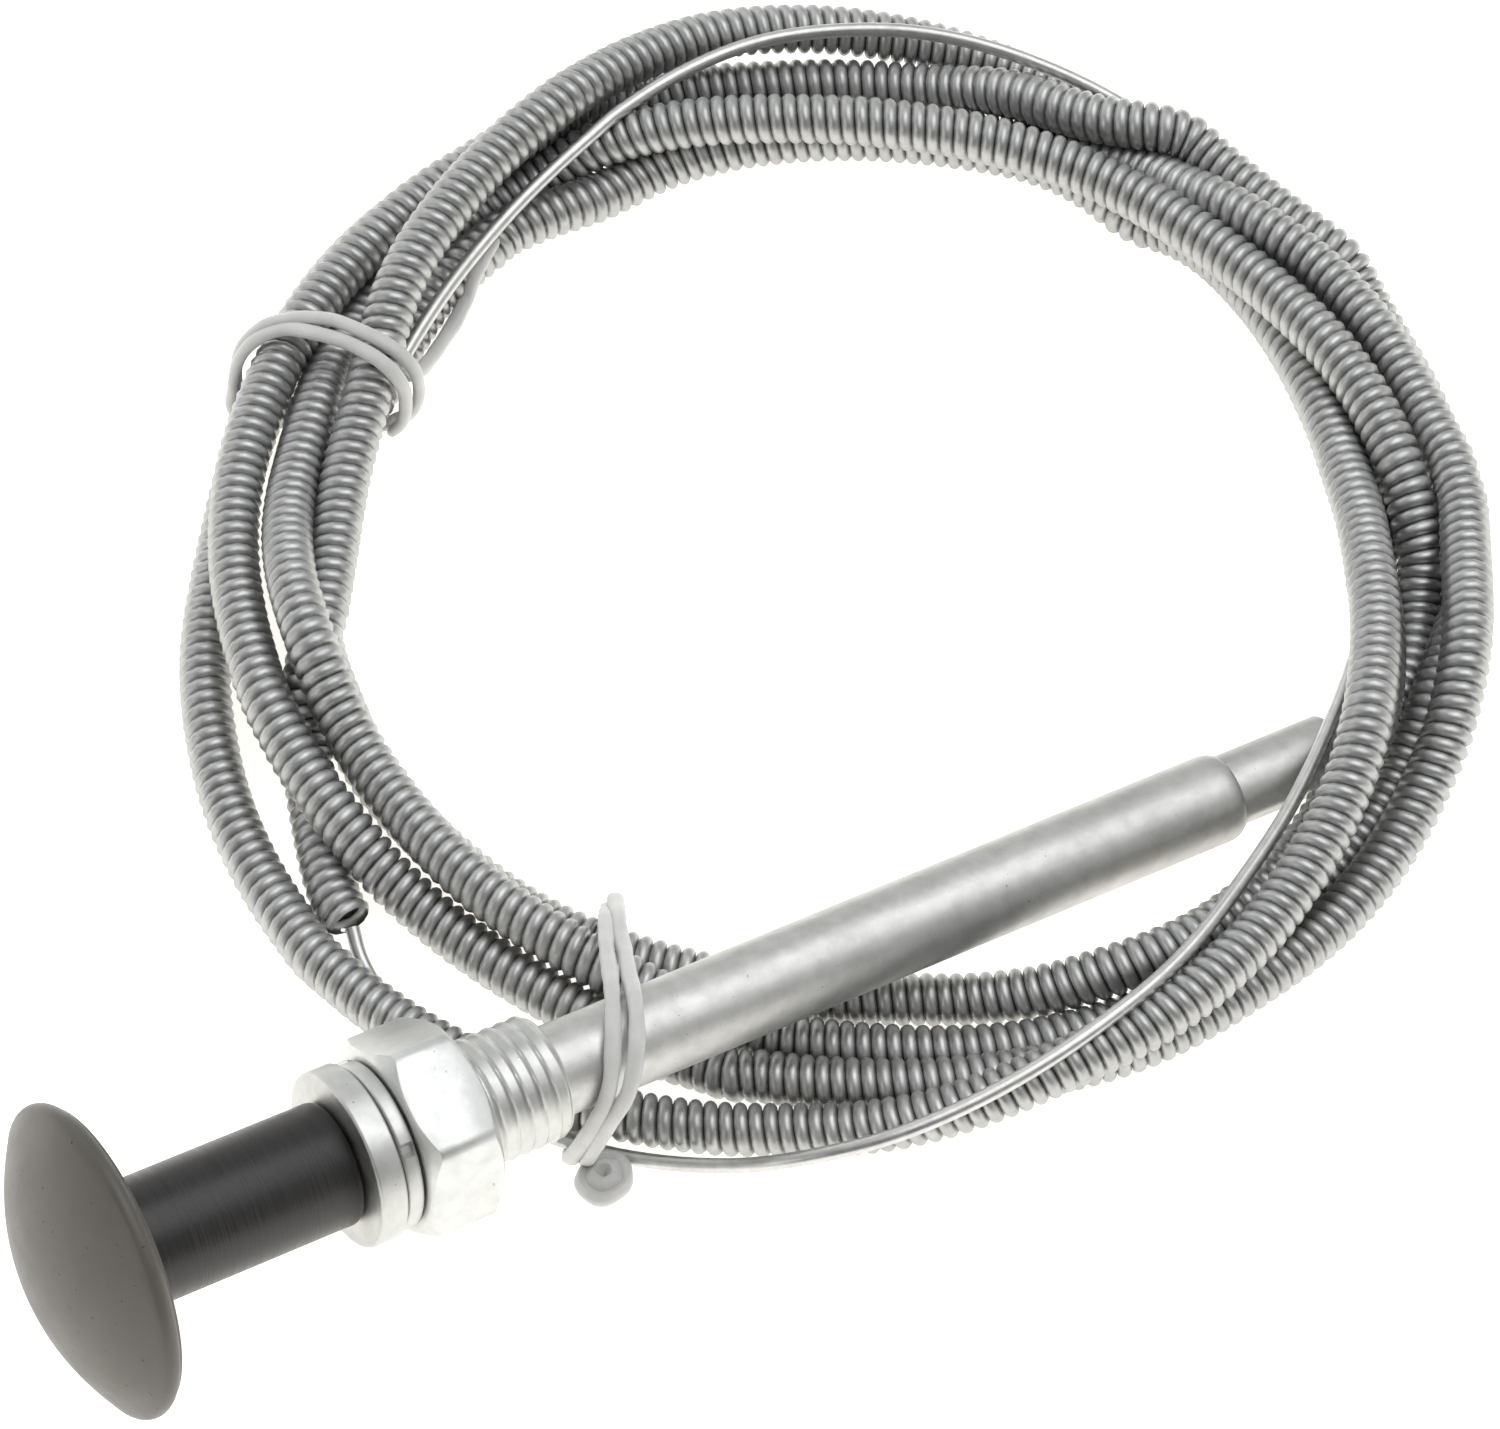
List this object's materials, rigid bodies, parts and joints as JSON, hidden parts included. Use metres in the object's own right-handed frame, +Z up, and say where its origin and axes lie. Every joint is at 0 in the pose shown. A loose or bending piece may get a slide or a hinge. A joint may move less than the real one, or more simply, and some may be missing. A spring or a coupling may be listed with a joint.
{
  "type": "push-pull control cable",
  "caption": "Push-pull control cable with a black mushroom knob, threaded bushing and nut, steel guide tube, and a tied coil of spiral-wound conduit with a bare inner wire.",
  "frame": {"origin": "on the table below the middle of the control (knob, bushing and guide tube)", "axes": "+X from the knob towards the tube's end, along the control as seen from above; +Z up; the control rises 8 degrees towards the knob"},
  "size_m": [0.2581, 0.195, 0.0543],
  "materials": {
    "black_cap": "satin moulded black plastic with a fine grain",
    "black_stem": "turned black, semi-gloss, fine rings round the axis",
    "zinc": "bright zinc plating, slightly mottled, turned",
    "zinc_tube": "zinc-plated drawn tube, satin, fine specks",
    "steel": "plain turned steel",
    "conduit": "drawn steel wire wound close, satin, dark between the turns",
    "wire": "bright drawn steel wire",
    "brass": "turned brass",
    "nylon": "natural nylon",
    "rubber": "black rubber",
    "tie": "soft white plastic cord, satin, slightly translucent"
  },
  "bodies": {
    "root": {"bushing": "zinc", "guide_bush": "nylon", "friction_ring": "rubber", "stop_sleeve": "steel", "guide_tube": "zinc_tube", "conduit_stop": "steel", "conduit_entry": "conduit", "left_tie": "tie", "right_tie": "tie", "left_tie_tail": "tie", "right_tie_knot": "tie", "conduit_coil": "conduit", "bare_wire": "wire"},
    "knob": {"knob_cap": "black_cap", "knob_stem": "black_stem", "stem_insert": "brass", "pull_rod": "steel", "stop_collar": "steel", "wire_ferrule": "brass", "control_wire": "steel"},
    "washer": {"lock_washer": "zinc"},
    "nut": {"hex_nut": "zinc"}
  },
  "joints": [
    {"name": "knob_pull", "type": "slide", "parent": "root", "child": "knob", "axis": [-0.9903, 0, 0.1392], "range_m": [0, 0.076]},
    {"name": "washer_slide", "type": "slide", "parent": "root", "child": "washer", "axis": [0.9903, 0, -0.1392], "range_m": [0, 0.00735]},
    {"name": "nut_turn", "type": "hinge", "parent": "washer", "child": "nut", "pos_m": [-0.04477, 0, 0.02593], "axis": [0.9903, 0, -0.1392], "range_deg": [0, 1260.5]}
  ],
  "couplings": [
    {"joint": "nut_turn", "follows": "washer_slide", "rad_per_m": 2992}
  ]
}
